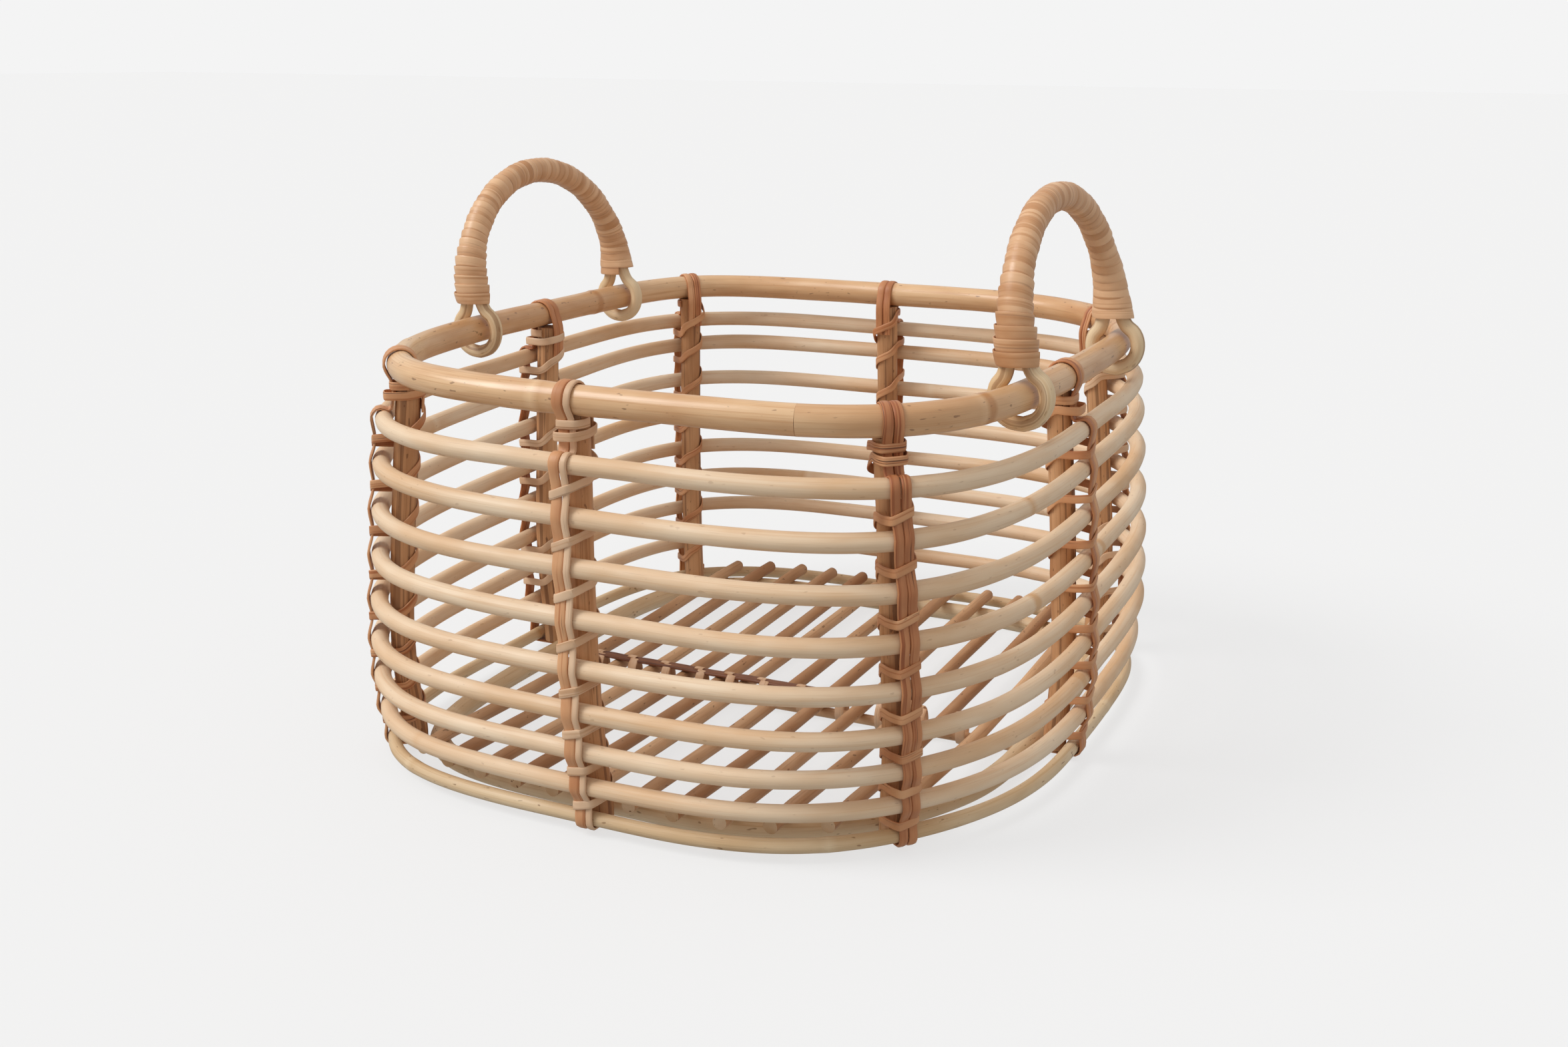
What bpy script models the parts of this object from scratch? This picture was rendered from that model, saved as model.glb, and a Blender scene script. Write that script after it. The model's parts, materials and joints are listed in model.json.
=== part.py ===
"""Open cane basket: a rounded-square wall of hoops on eight posts, a rod floor and two drop handles.

Frame: metres, +Z up, origin on the floor under the middle of the basket.
The handles stand on the left (-X) and right (+X) sides; the floor rods run front to back (Y).
"""
import math

import bmesh
import bpy
import numpy as np
from mathutils import Vector

MM = 0.001

# ---- plan of the rim pole -------------------------------------------------------------------
RIM_HALF_WIDTH = 196.5 * MM     # centre line of the rim, along X
RIM_HALF_DEPTH = 226.5 * MM     # centre line of the rim, along Y
CORNERS = [225, 315, 45, 135]   # polar angles of the four corners, front left one first
RIM_SQUARENESS = [3.5, 4.0, 3.0, 5.0]     # superellipse exponent at each corner of the rim
BASE_SQUARENESS = [4.0, 2.5, 4.0, 4.0]    # and at each corner of the floor
RIM_HEIGHT = 245 * MM           # centre line of the rim above the floor
RIM_RADIUS = 8.3 * MM

# ---- wall profile: how far the line of posts stands outside the rim's line, at each height ----
BELLY_HEIGHTS = [13, 60, 130, 236]      # tucked in at the foot, widest low down, in again at the top
BELLY_OFFSETS = [-2.5, 2, 1, -4]

# ---- hoops, from the top one down ------------------------------------------------------------
HOOP_COUNT = 8
TOP_HOOP_HEIGHT = 212
HOOP_SPACING = 28.2             # of the upper hoops
EVEN_GAPS = 2.6                 # how many gaps keep that spacing before the hoops close up
CLOSING_UP = 2.1                # and how much each further gap shrinks
TOP_HOOP_RADIUS = 5.4
LOW_HOOP_RADIUS = 5.1           # the lower hoops are a little thinner
TOP_HOOP_RISE = 6               # the top hoop stands this much higher at the back than in front
HOOP_RISE = 15.5                # the hoops below it this much
LOW_HOOP_RISE = 7               # and the lowest one less again
BOTTOM_HOOP_HEIGHT = 10 * MM
BOTTOM_HOOP_RADIUS = 4.2 * MM
HOOP_TO_POST = 1.2 * MM         # room for the flats of the hoops where they pass a post

# ---- posts: polar angle at the rim and at the floor, in degrees -----------------------------
POSTS = {
    "front_left": (228, 226),
    "front_mid": (265, 268),
    "front_right": (307, 311),
    "right_mid": (348, 356),
    "back_right": (49, 49),
    "back_mid": (95, 94),
    "back_left": (132, 132),
    "left_mid": (174, 174),
}
POST_RADIUS = 7.5 * MM
POST_LEVELS = [13, 22, 31, 41, 52, 75, 105, 145, 184, 212]   # heights of its bends
POST_TOP = 235.2 * MM
POST_BOTTOM = 6.2 * MM

# ---- peel strips over the rim and down the outside, and the peel lashings ---------------------
STRIP_WIDTH = 11.0 * MM
STRIP_THICKNESS = 1.5 * MM
STRIP_DIP = 2.6 * MM            # how far a strip sinks in between two hoops
STRIP_INNER_END = 216 * MM      # height of its tail on the inside of the post
STRIP_CONTACTS = {              # where a strip touches a hoop, in degrees up from level
    0: (75, 40, 0),
    5: (0, -20),
    6: (0, -30),
    7: (5, -40),
    8: (15, -30, -60, -90),
}
LASHING_WIDTH = 5.0 * MM
LASHING_THICKNESS = 1.0 * MM
COLLAR_HEIGHTS = [232.2, 226.2]
ROOM_OVER_STRIPS = {"first": 2.4 * MM, "last": 1.0 * MM}    # where the strips bend most
ROOM_BETWEEN = 0.4 * MM
COLLAR_BOTTOM = 217.6 * MM      # where the strips leave the collar and step out over the top hoop
GAP = 0.3 * MM

# ---- floor -------------------------------------------------------------------------------------
RING_RADIUS = 7.0 * MM
ROD_RADIUS = 4.3 * MM
LEFT_RODS = (-141, 26, 5)       # first one, spacing and number, from the left
LONE_ROD = -18
RIGHT_RODS = (12, 27.6, 6)
BEARER_RADIUS = 3.4 * MM
BEARER_HEIGHT = 5.2 * MM
BEARER_Y = -23 * MM
FLOOR_STRIP_WIDTH = 8.0 * MM
FLOOR_STRIP_THICKNESS = 2.5 * MM
FLOOR_STRIP_END = 50 * MM        # it stops short on the right

# ---- handles ------------------------------------------------------------------------------------
HANDLE_MIDDLES = {"left": 32 * MM, "right": -18 * MM}
HANDLE_HALF_SPANS = {"left": 92 * MM, "right": 97 * MM}
HANDLE_CROWNS = {"left": 98 * MM, "right": 100 * MM}    # grip's line above the rim's
HANDLE_LEANS = {"left": -6.5, "right": 8.0}    # degrees that each leans in over the basket
LOOP_RADIUS = 14.6 * MM         # eye around the rim
LOOP_CANE = 4.3 * MM
GRIP_CANE = 5.8 * MM
GRIP_RADIUS = 8.2             # over the wrapping, in mm
FOOT_RADII = (11.2, 10.0, 9.0, 8.5, 8.3)    # where the flared foot runs into the grip, in mm
BRANCH_OFFSET = 4.6 * MM        # the two legs of an eye, side by side in the collar
WRAP_THICKNESS = 1.3 * MM
EYE_SHARE = 0.98                # the eyes stand this share of the half span from the middle
COLLAR_START = 20 * MM
FOOT_TOP = 42 * MM              # where the two branches of an eye become one grip
ARCH_START = 23 * MM            # where the ellipse of the grip springs from

# ---- colours -----------------------------------------------------------------------------------
HONEY = (0.60, 0.40, 0.22, 1.0)
CREAM = (0.74, 0.58, 0.38, 1.0)
TAN = (0.56, 0.38, 0.23, 1.0)
PEEL = (0.55, 0.32, 0.17, 1.0)
RUSSET = (0.33, 0.15, 0.08, 1.0)


def hoop_sizes():
    """Heights, radii and rises at the back of the hoops, from the top one down."""
    heights = [TOP_HOOP_HEIGHT]
    for gap in range(HOOP_COUNT - 1):
        heights.append(heights[-1] - HOOP_SPACING + CLOSING_UP * max(0, gap - EVEN_GAPS))
    span = heights[0] - heights[-1]
    taper = TOP_HOOP_RADIUS - LOW_HOOP_RADIUS
    radii = [TOP_HOOP_RADIUS - taper * ((heights[0] - h) / span)**2 for h in heights]
    rises = [TOP_HOOP_RISE] + [HOOP_RISE] * (HOOP_COUNT - 2) + [LOW_HOOP_RISE]
    return heights, radii, rises


def spaced(first, spacing, number):
    return [first + spacing * k for k in range(number)]


HOOP_HEIGHTS, HOOP_RADII, HOOP_RISES = hoop_sizes()
ROD_POSITIONS = spaced(*LEFT_RODS) + [LONE_ROD] + spaced(*RIGHT_RODS)


def clear_scene():
    for obj in list(bpy.data.objects):
        bpy.data.objects.remove(obj, do_unlink=True)


def collection(name):
    made = bpy.data.collections.new(name)
    bpy.context.scene.collection.children.link(made)
    return made


def material(name, colour, roughness):
    made = bpy.data.materials.new(name)
    made.use_nodes = True
    shader = made.node_tree.nodes["Principled BSDF"]
    shader.inputs["Base Color"].default_value = colour
    shader.inputs["Roughness"].default_value = roughness
    shader.inputs["Metallic"].default_value = 0.0
    return made


# ---- the wall surface through the middles of the posts ---------------------------------------
DENSE = np.linspace(0, 2 * math.pi, 1440, endpoint=False)


def smooth_step_value(heights, values, height):
    """Cubic interpolation through (height, value) pairs with gentle slopes."""
    heights = np.asarray(heights, float)
    values = np.asarray(values, float)
    slopes = np.gradient(values, heights)
    height = min(max(height, heights[0]), heights[-1])
    i = min(int(np.searchsorted(heights, height, side="right")) - 1, len(heights) - 2)
    span = heights[i + 1] - heights[i]
    t = (height - heights[i]) / span
    h00 = 2 * t**3 - 3 * t**2 + 1
    h10 = t**3 - 2 * t**2 + t
    h01 = -2 * t**3 + 3 * t**2
    h11 = t**3 - t**2
    return (h00 * values[i] + h10 * span * slopes[i]
            + h01 * values[i + 1] + h11 * span * slopes[i + 1])


def belly(height):
    """How far the wall line stands outside the rim's line, at a height; the rim has its own line."""
    if height > POST_TOP + 5 * MM:
        return 0.0
    return smooth_step_value(BELLY_HEIGHTS, BELLY_OFFSETS, height / MM) * MM


def corner_mix(rim, base, share):
    """Squareness all round, blended from one corner to the next and from the floor to the rim."""
    turn = np.degrees(DENSE)
    weights = []
    for middle in CORNERS:
        near = np.clip(1 - np.abs((turn - middle + 180) % 360 - 180) / 90, 0, 1)
        weights.append(near * near * (3 - 2 * near))
    weights = np.array(weights) / np.sum(weights, axis=0)
    return (np.array(base) * (1 - share) + np.array(rim) * share) @ weights


def wall_plan(height):
    """Closed plan curve of the wall at a height: points and outward normals, densely sampled."""
    bulge = belly(height)
    share = min(max(height / RIM_HEIGHT, 0.0), 1.0)
    n = corner_mix(RIM_SQUARENESS, BASE_SQUARENESS, share)
    a = RIM_HALF_WIDTH + bulge
    b = RIM_HALF_DEPTH + bulge
    cos, sin = np.cos(DENSE), np.sin(DENSE)
    r = (np.abs(cos / a)**n + np.abs(sin / b)**n)**(-1 / n)
    points = np.stack([r * cos, r * sin], axis=1)
    ahead = np.roll(points, -1, axis=0) - np.roll(points, 1, axis=0)
    ahead /= np.linalg.norm(ahead, axis=1)[:, None]
    normals = np.stack([ahead[:, 1], -ahead[:, 0]], axis=1)
    return points, normals


def wall_point(angle_deg, height, out):
    """A point beside the wall: at a polar angle, at a height, a distance out along the normal."""
    points, normals = wall_plan(height)
    where = (angle_deg % 360) / 360 * len(DENSE)
    i = int(where) % len(DENSE)
    t = where - int(where)
    j = (i + 1) % len(DENSE)
    p = points[i] * (1 - t) + points[j] * t
    n = normals[i] * (1 - t) + normals[j] * t
    n /= np.linalg.norm(n)
    return Vector((p[0] + out * n[0], p[1] + out * n[1], height)), Vector((n[0], n[1], 0))


def to_the_back(y):
    """0 at the front of the wall and 1 at its back."""
    return np.clip((y + RIM_HALF_DEPTH) / (2 * RIM_HALF_DEPTH), 0, 1)


def ring_points(height, out, count, rise=0.0, out_behind=None):
    """Points of a closed ring, closer together where it bends; it may rise towards the back."""
    points, normals = wall_plan(height)
    line = points + out * normals
    if rise:
        behind, behind_normals = wall_plan(height + rise)
        share = to_the_back(points[:, 1])[:, None]
        line = line * (1 - share) + (behind + out_behind * behind_normals) * share
    step = np.roll(line, -1, axis=0) - line
    length = np.linalg.norm(step, axis=1)
    turn = np.linalg.norm(np.roll(normals, -1, axis=0) - normals, axis=1)
    weight = length / length.sum() + 2.2 * turn / turn.sum()
    along = np.concatenate([[0], np.cumsum(weight)])
    marks = np.linspace(0, along[-1], count, endpoint=False)
    closed = np.vstack([line, line[:1]])
    x = np.interp(marks, along, closed[:, 0])
    y = np.interp(marks, along, closed[:, 1])
    return [Vector((x[k], y[k], height + rise * float(to_the_back(y[k])))) for k in range(count)]


# ---- makers -------------------------------------------------------------------------------------
def cane(name, points, radii, mat, closed=False, caps=True, sides=8, tilt=0.0, z_up=False):
    """A round cane: a poly curve with a bevel and one radius per point."""
    curve = bpy.data.curves.new(name, "CURVE")
    curve.dimensions = "3D"
    curve.twist_mode = "Z_UP" if z_up else "MINIMUM"
    curve.bevel_depth = 1.0
    curve.bevel_resolution = (sides - 4) // 2
    curve.use_fill_caps = caps and not closed
    spline = curve.splines.new("POLY")
    spline.points.add(len(points) - 1)
    if not hasattr(radii, "__len__"):
        radii = [radii] * len(points)
    for knot, point, radius in zip(spline.points, points, radii):
        knot.co = (point[0], point[1], point[2], 1.0)
        knot.radius = radius
        knot.tilt = tilt
    spline.use_cyclic_u = closed
    spline.use_smooth = True
    curve.materials.append(mat)
    obj = bpy.data.objects.new(name, curve)
    basket.objects.link(obj)
    return obj


def ribbon(name, path, across, thickness, mat, even=True):
    """A flat peel: a chain of edges pulled sideways into a band, then given its thickness."""
    if isinstance(across, Vector):
        across = [across] * len(path)
    mesh = bpy.data.meshes.new(name)
    bm = bmesh.new()
    verts = [bm.verts.new(point - pull / 2) for point, pull in zip(path, across)]
    edges = [bm.edges.new(pair) for pair in zip(verts[:-1], verts[1:])]
    bmesh.ops.extrude_edge_only(bm, edges=edges)
    for vert, pull in zip(verts, across):
        twin = next(e.other_vert(vert) for e in vert.link_edges if e.other_vert(vert) not in verts)
        twin.co = vert.co + pull
    bmesh.ops.recalc_face_normals(bm, faces=bm.faces)
    bm.to_mesh(mesh)
    bm.free()
    mesh.materials.append(mat)
    obj = bpy.data.objects.new(name, mesh)
    basket.objects.link(obj)
    solid = obj.modifiers.new("peel thickness", "SOLIDIFY")
    solid.thickness = thickness
    solid.offset = 0.0
    solid.use_even_offset = even
    return obj


# ---- posts, strips and lashings -----------------------------------------------------------------
def post_angle(name, height):
    top, bottom = POSTS[name]
    share = min(max(height / RIM_HEIGHT, 0.0), 1.0)
    return bottom + (top - bottom) * share


def make_post(name, mat):
    heights = [h * MM for h in POST_LEVELS] + [POST_TOP]
    points = [wall_point(post_angle(name, h), h, 0.0)[0] for h in heights]
    foot = points[0].copy()
    foot.z = POST_BOTTOM
    return cane("post_" + name, [foot] + points, POST_RADIUS, mat)


def wall_slope(height):
    """How fast the wall line moves out with height."""
    return (belly(height + 3 * MM) - belly(height - 3 * MM)) / (6 * MM)


def hoop_out(radius, height):
    """Distance from the wall line to a hoop's middle: a sloping post is wider when cut level."""
    return POST_RADIUS * math.hypot(1, 1.25 * wall_slope(height)) + HOOP_TO_POST + radius


def hoops_at(name):
    """Heights and radii of the hoops where they pass a post, the bottom hoop last."""
    share = float(to_the_back(wall_point(post_angle(name, RIM_HEIGHT / 2), RIM_HEIGHT / 2, 0.0)[0].y))
    sizes = zip(HOOP_HEIGHTS, HOOP_RADII, HOOP_RISES)
    levels = [((height + rise * share) * MM, radius * MM) for height, radius, rise in sizes]
    return levels + [(BOTTOM_HOOP_HEIGHT, BOTTOM_HOOP_RADIUS)]


def collar_bottom(name):
    """Where the strips step out over the top hoop, which stands higher at the back."""
    return COLLAR_BOTTOM + hoops_at(name)[0][0] - HOOP_HEIGHTS[0] * MM


def collar_turns(name):
    """Heights of the collar's turns: one fewer where the top hoop leaves no room for it."""
    lowest = collar_bottom(name) + LASHING_WIDTH / 2 + MM
    return [height * MM for height in COLLAR_HEIGHTS if height * MM > lowest]


def strip_profile(name):
    """Middle of a strip from its tail inside, over the rim and under the base.

    Each entry is (height of the wall line it is measured from, distance out, height).
    """
    skin = STRIP_THICKNESS / 2 + GAP
    inside = -(POST_RADIUS + skin)
    over = RIM_RADIUS + skin + 0.9 * MM
    profile = [(STRIP_INNER_END, inside, STRIP_INNER_END)]
    profile.append((POST_TOP, inside - 0.4 * MM, POST_TOP + 1.0 * MM))
    for degrees in (180, 150, 120, 90, 60, 30, 0, -28):
        turn = math.radians(degrees)
        profile.append((RIM_HEIGHT, over * math.cos(turn), RIM_HEIGHT + over * math.sin(turn)))
    profile.append((COLLAR_HEIGHTS[0] * MM, POST_RADIUS + 1.4 * MM, COLLAR_HEIGHTS[0] * MM))
    levels = hoops_at(name)
    step = collar_bottom(name)
    profile.append((step, POST_RADIUS + 2.0 * MM, step))
    for k, (height, radius) in enumerate(levels):
        middle = hoop_out(radius, height)
        reach = radius + skin + 0.15 * MM
        for degrees in STRIP_CONTACTS.get(k, (0,)):
            turn = math.radians(degrees)
            profile.append((height, middle + reach * math.cos(turn), height + reach * math.sin(turn)))
        if k < len(levels) - 1:
            below, below_radius = levels[k + 1]
            out = (middle + radius + hoop_out(below_radius, below) + below_radius) / 2
            out += skin - STRIP_DIP
            profile.append(((height + below) / 2, out, (height + below) / 2))
    profile.append((BOTTOM_HOOP_HEIGHT, -4 * MM, BOTTOM_HOOP_HEIGHT - reach))
    return profile


def across_wall(name, height):
    """Level direction along the wall at a post."""
    normal = wall_point(post_angle(name, height), height, 0.0)[1]
    return Vector((-normal.y, normal.x, 0))


def make_strips(name, mat):
    path = []
    across = []
    for level, out, height in strip_profile(name):
        point = wall_point(post_angle(name, level), level, out)[0]
        point.z = height
        path.append(point)
        across.append(across_wall(name, level) * STRIP_WIDTH)
    return ribbon("strips_" + name, path, across, STRIP_THICKNESS, mat)


def lashing_crossings(name):
    """Heights where a lashing crosses the strips: the collar, then once between two hoops."""
    crossings = collar_turns(name)
    levels = hoops_at(name)
    for (above, above_radius), (below, below_radius) in zip(levels[:-1], levels[1:]):
        crossings.append((above - above_radius + below + below_radius) / 2)
    return crossings


def strip_face(name, height):
    """Distance from the rim's line out to the outer face of the strips, at a height."""
    outer = []
    for level, out, h in strip_profile(name):
        if out > 5 * MM and h > BOTTOM_HOOP_HEIGHT - MM:
            outer.append((h, out + belly(level)))
    outer.sort()
    heights, outs = zip(*outer)
    return float(np.interp(height, heights, outs)) + STRIP_THICKNESS / 2


def corner(height):
    """Half width of a lashing behind the post: wider where it covers the strips' tails."""
    return 7.6 * MM if height > STRIP_INNER_END - LASHING_WIDTH else 5.0 * MM


def make_lashing(name, mat):
    """A peel wound down the post and its strips, one turn for each gap between the hoops."""
    crossings = lashing_crossings(name)
    collar = len(collar_turns(name))
    edge = STRIP_WIDTH / 2 + 1.0 * MM
    room = GAP + LASHING_THICKNESS / 2 + 0.2 * MM
    back = POST_RADIUS + STRIP_THICKNESS + GAP + room
    side = POST_RADIUS + room + 1.3 * MM
    last = len(crossings) - 1
    path = []
    for k, middle in enumerate(crossings):
        above = crossings[k - 1] if k else middle + 0.004
        below = crossings[k + 1] if k < last else middle
        slant = 0.4 * MM if k < collar else 1.0 * MM if k == last else 2.0 * MM
        reach = LASHING_WIDTH / 2 + slant / 2
        face = max(strip_face(name, middle + reach * share) for share in (-1, -0.5, 0, 0.5, 1))
        place = "first" if k == 0 else "last" if k == last else "between"
        face += room - belly(middle) + ROOM_OVER_STRIPS.get(place, ROOM_BETWEEN)
        stops = [
            (corner(above), -back, (above + middle) / 2 - (above - middle) * 0.12),
            (side, 0.0, middle + slant),
            (edge, face, middle + slant * 0.5),
            (-edge, face, middle - slant * 0.5),
            (-side, 0.0, middle - slant),
            (-corner(middle), -back, (middle + below) / 2 + (middle - below) * 0.12),
        ]
        if k == last:
            stops = stops[:5]
        for along, out, height in stops:
            if out < 0:
                out -= abs(wall_slope(height)) * LASHING_WIDTH * 1.15
            point = wall_point(post_angle(name, height), height, out)[0]
            path.append(point + across_wall(name, height) * along)
    return ribbon("lashing_" + name, path, Vector((0, 0, LASHING_WIDTH)), LASHING_THICKNESS, mat)


# ---- floor ----------------------------------------------------------------------------------------
RING_FLAT = RING_RADIUS * math.cos(math.pi / 8)
RING_OUT = -(POST_RADIUS + RING_RADIUS + 1.0 * MM)
ROD_AT_RING = 2 * RING_FLAT + GAP + ROD_RADIUS
ROD_AT_BEARER = BEARER_HEIGHT + BEARER_RADIUS + GAP + ROD_RADIUS


def edge_y(x, height, out, front):
    """Y of the wall line, moved out along its normal, above or below a given X."""
    points, normals = wall_plan(height)
    line = points + out * normals
    half = line[line[:, 1] < 0] if front else line[line[:, 1] > 0]
    order = np.argsort(half[:, 0])
    return float(np.interp(x, half[order, 0], half[order, 1]))


def edge_x(y, height, out, left):
    points, normals = wall_plan(height)
    line = points + out * normals
    half = line[line[:, 0] < 0] if left else line[line[:, 0] > 0]
    order = np.argsort(half[:, 1])
    return float(np.interp(y, half[order, 1], half[order, 0]))


def rod_end(x, front):
    """Rods stop just inside the hoops, or earlier where a post stands in their way."""
    end = edge_y(x, ROD_AT_RING, 4.0 * MM, front)
    clear = POST_RADIUS + ROD_RADIUS + 4.8 * MM
    for name in POSTS:
        post = wall_point(post_angle(name, ROD_AT_RING), ROD_AT_RING, 0.0)[0]
        beside = abs(x - post.x)
        if (post.y < 0) != front or beside >= clear:
            continue
        reach = abs(post.y) - math.sqrt(clear**2 - beside**2)
        end = math.copysign(min(abs(end), reach), end)
    return end


def make_rod(number, x, mat):
    level = ROD_AT_RING
    front = rod_end(x, True)
    back = rod_end(x, False)
    ring_front = edge_y(x, level, RING_OUT - RING_RADIUS, True)
    ring_back = edge_y(x, level, RING_OUT - RING_RADIUS, False)
    rise = ROD_AT_RING - ROD_AT_BEARER
    ys = [front, ring_front, ring_front * 0.45, BEARER_Y, ring_back * 0.55, ring_back, back]
    points = []
    for y in ys:
        ring_y = ring_front if y < BEARER_Y else ring_back
        share = min(abs((y - BEARER_Y) / (ring_y - BEARER_Y)), 1.0)
        points.append(Vector((x, y, ROD_AT_BEARER + rise * share**2)))
    return cane("floor_rod_%d" % number, points, ROD_RADIUS, mat)


def make_floor(ring_mat, rod_mat, strip_mat, peel_mat):
    cane("base_ring", ring_points(RING_FLAT, RING_OUT, 40), RING_RADIUS, ring_mat,
         closed=True, tilt=math.pi / 8, z_up=True)
    for number, x in enumerate(ROD_POSITIONS, start=1):
        make_rod(number, x * MM, rod_mat)
    inner = RING_OUT - RING_RADIUS - 0.8 * MM
    left = edge_x(BEARER_Y, RING_FLAT, inner, True)
    right = edge_x(BEARER_Y, RING_FLAT, inner, False)
    ends = [Vector((left, BEARER_Y, BEARER_HEIGHT)), Vector((right, BEARER_Y, BEARER_HEIGHT))]
    cane("floor_bearer", ends, BEARER_RADIUS, rod_mat)
    top = ROD_AT_BEARER + ROD_RADIUS + GAP
    strip_height = top + FLOOR_STRIP_THICKNESS / 2
    first = (ROD_POSITIONS[0] - 9) * MM
    last = FLOOR_STRIP_END
    run = [Vector((first + (last - first) * k / 4, BEARER_Y, strip_height)) for k in range(5)]
    ribbon("floor_strip", run, Vector((0, FLOOR_STRIP_WIDTH, 0)), FLOOR_STRIP_THICKNESS, strip_mat)
    make_floor_lashing(top + FLOOR_STRIP_THICKNESS, peel_mat)


def make_floor_lashing(strip_top, mat):
    """One peel that ties the strip to the bearer between every two rods."""
    room = GAP + LASHING_THICKNESS / 2
    above = strip_top + room
    below = BEARER_HEIGHT - BEARER_RADIUS - room
    middles = [(a + b) / 2 * MM for a, b in zip(ROD_POSITIONS[:-1], ROD_POSITIONS[1:])]
    path = []
    for k, x in enumerate(middles):
        if k:
            path.append(Vector((x, BEARER_Y - 3.4 * MM, below)))
        path.append(Vector((x, BEARER_Y - 5.6 * MM, (above + below) / 2 + 2 * MM)))
        path.append(Vector((x, BEARER_Y - 4.6 * MM, above)))
        path.append(Vector((x, BEARER_Y + 4.6 * MM, above)))
        path.append(Vector((x, BEARER_Y + 5.6 * MM, (above + below) / 2 + 2 * MM)))
        if k < len(middles) - 1:
            path.append(Vector((x, BEARER_Y + 3.4 * MM, below)))
    ribbon("floor_lashing", path, Vector((5.6 * MM, 0, 0)), LASHING_THICKNESS, mat, even=False)


# ---- handles ----------------------------------------------------------------------------------------
def leg_line(half_span, crown, share):
    """Centre line of the grip in the handle's own plane, share 0 at one foot and 1 at the other."""
    turn = math.pi * share
    y = -half_span * math.cos(turn)
    z = ARCH_START + (crown - ARCH_START) * math.sin(turn)
    return y, z


def make_handle(side, sign, core_mat, wrap_mat):
    """An eye around the rim at each foot, joined by a wrapped grip; the origin is on the hinge line."""
    feet = []
    half_span = HANDLE_HALF_SPANS[side]
    for y in (HANDLE_MIDDLES[side] - half_span, HANDLE_MIDDLES[side] + half_span):
        feet.append(Vector((edge_x(y, RIM_HEIGHT, 0.0, sign < 0), y, RIM_HEIGHT)))
    pivot = (feet[0] + feet[1]) / 2
    chord = feet[1] - feet[0]
    knots = []

    def eye(y, inner_first):
        legs = [(-BRANCH_OFFSET + 0.3 * MM, 38 * MM, LOOP_CANE * 0.9),
                (-BRANCH_OFFSET, 28 * MM, LOOP_CANE * 0.92),
                (-BRANCH_OFFSET - 1.0 * MM, 19.5 * MM, LOOP_CANE * 0.96)]
        for degrees in (-34, -62, -90, -122, -151, 180, 151, 122, 90, 62, 34):
            turn = math.radians(degrees)
            legs.append((LOOP_RADIUS * math.sin(turn), LOOP_RADIUS * math.cos(turn), LOOP_CANE))
        legs.append((BRANCH_OFFSET + 1.0 * MM, 19.5 * MM, LOOP_CANE * 0.96))
        legs.append((BRANCH_OFFSET, 28 * MM, LOOP_CANE * 0.92))
        legs.append((BRANCH_OFFSET - 0.3 * MM, 38 * MM, LOOP_CANE * 0.9))
        if not inner_first:
            legs.reverse()
        return [(out, y, z, radius) for out, z, radius in legs]

    crown = HANDLE_CROWNS[side]
    count = 24
    arch = [leg_line(half_span, crown, k / count) for k in range(count + 1)]
    arch = [(y, z) for y, z in arch if z > FOOT_TOP]
    knots += eye(-half_span * EYE_SHARE, True)
    for k, (y, z) in enumerate(arch):
        ends = min(k, len(arch) - 1 - k)
        out = (3.6 * MM, 1.6 * MM)[ends] if ends < 2 else 0.0
        radius = (LOOP_CANE * 0.95, LOOP_CANE)[ends] if ends < 2 else GRIP_CANE
        knots.append((out, y, z, radius))
    knots += eye(half_span * EYE_SHARE, False)
    points = [Vector((sign * out, y, z)) for out, y, z, _ in knots]
    core = cane("handle_core_" + side, points, [radius for *_, radius in knots], core_mat)

    foot = [(COLLAR_START, 0.985, 13.2), (25 * MM, 0.985, 12.5), (34 * MM, 0.98, 11.9)]
    wrap = [(-half_span * share, z, radius) for z, share, radius in foot]
    for k, (y, z) in enumerate(arch):
        ends = min(k, len(arch) - 1 - k)
        wrap.append((y, z, FOOT_RADII[ends] if ends < len(FOOT_RADII) else GRIP_RADIUS))
    wrap += [(half_span * share, z, radius) for z, share, radius in reversed(foot)]
    points = [Vector((0, y, z)) for y, z, _ in wrap]
    cover = cane("handle_wrap_" + side, points, [r * MM for *_, r in wrap], wrap_mat, caps=False)
    shell = cover.modifiers.new("peel layers", "SOLIDIFY")
    shell.thickness = WRAP_THICKNESS
    shell.offset = -1.0
    shell.use_even_offset = True

    empty = bpy.data.objects.new("pivot_" + side, None)
    basket.objects.link(empty)
    empty.location = pivot
    empty.rotation_euler = (0, -sign * math.radians(HANDLE_LEANS[side]), math.atan2(-chord.x, chord.y))
    for obj in (core, cover):
        obj.parent = empty


# ---- build ------------------------------------------------------------------------------------------
clear_scene()
basket = collection("cane_basket")

rim_skin = material("rim_skin", HONEY, 0.38)
hoop_core = material("hoop_core", CREAM, 0.55)
post_cane = material("post_cane", TAN, 0.55)
peel = material("peel", PEEL, 0.5)
russet_peel = material("russet_peel", RUSSET, 0.55)
loop_cane = material("loop_cane", CREAM, 0.5)
grip_peel = material("grip_peel", TAN, 0.42)

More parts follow.
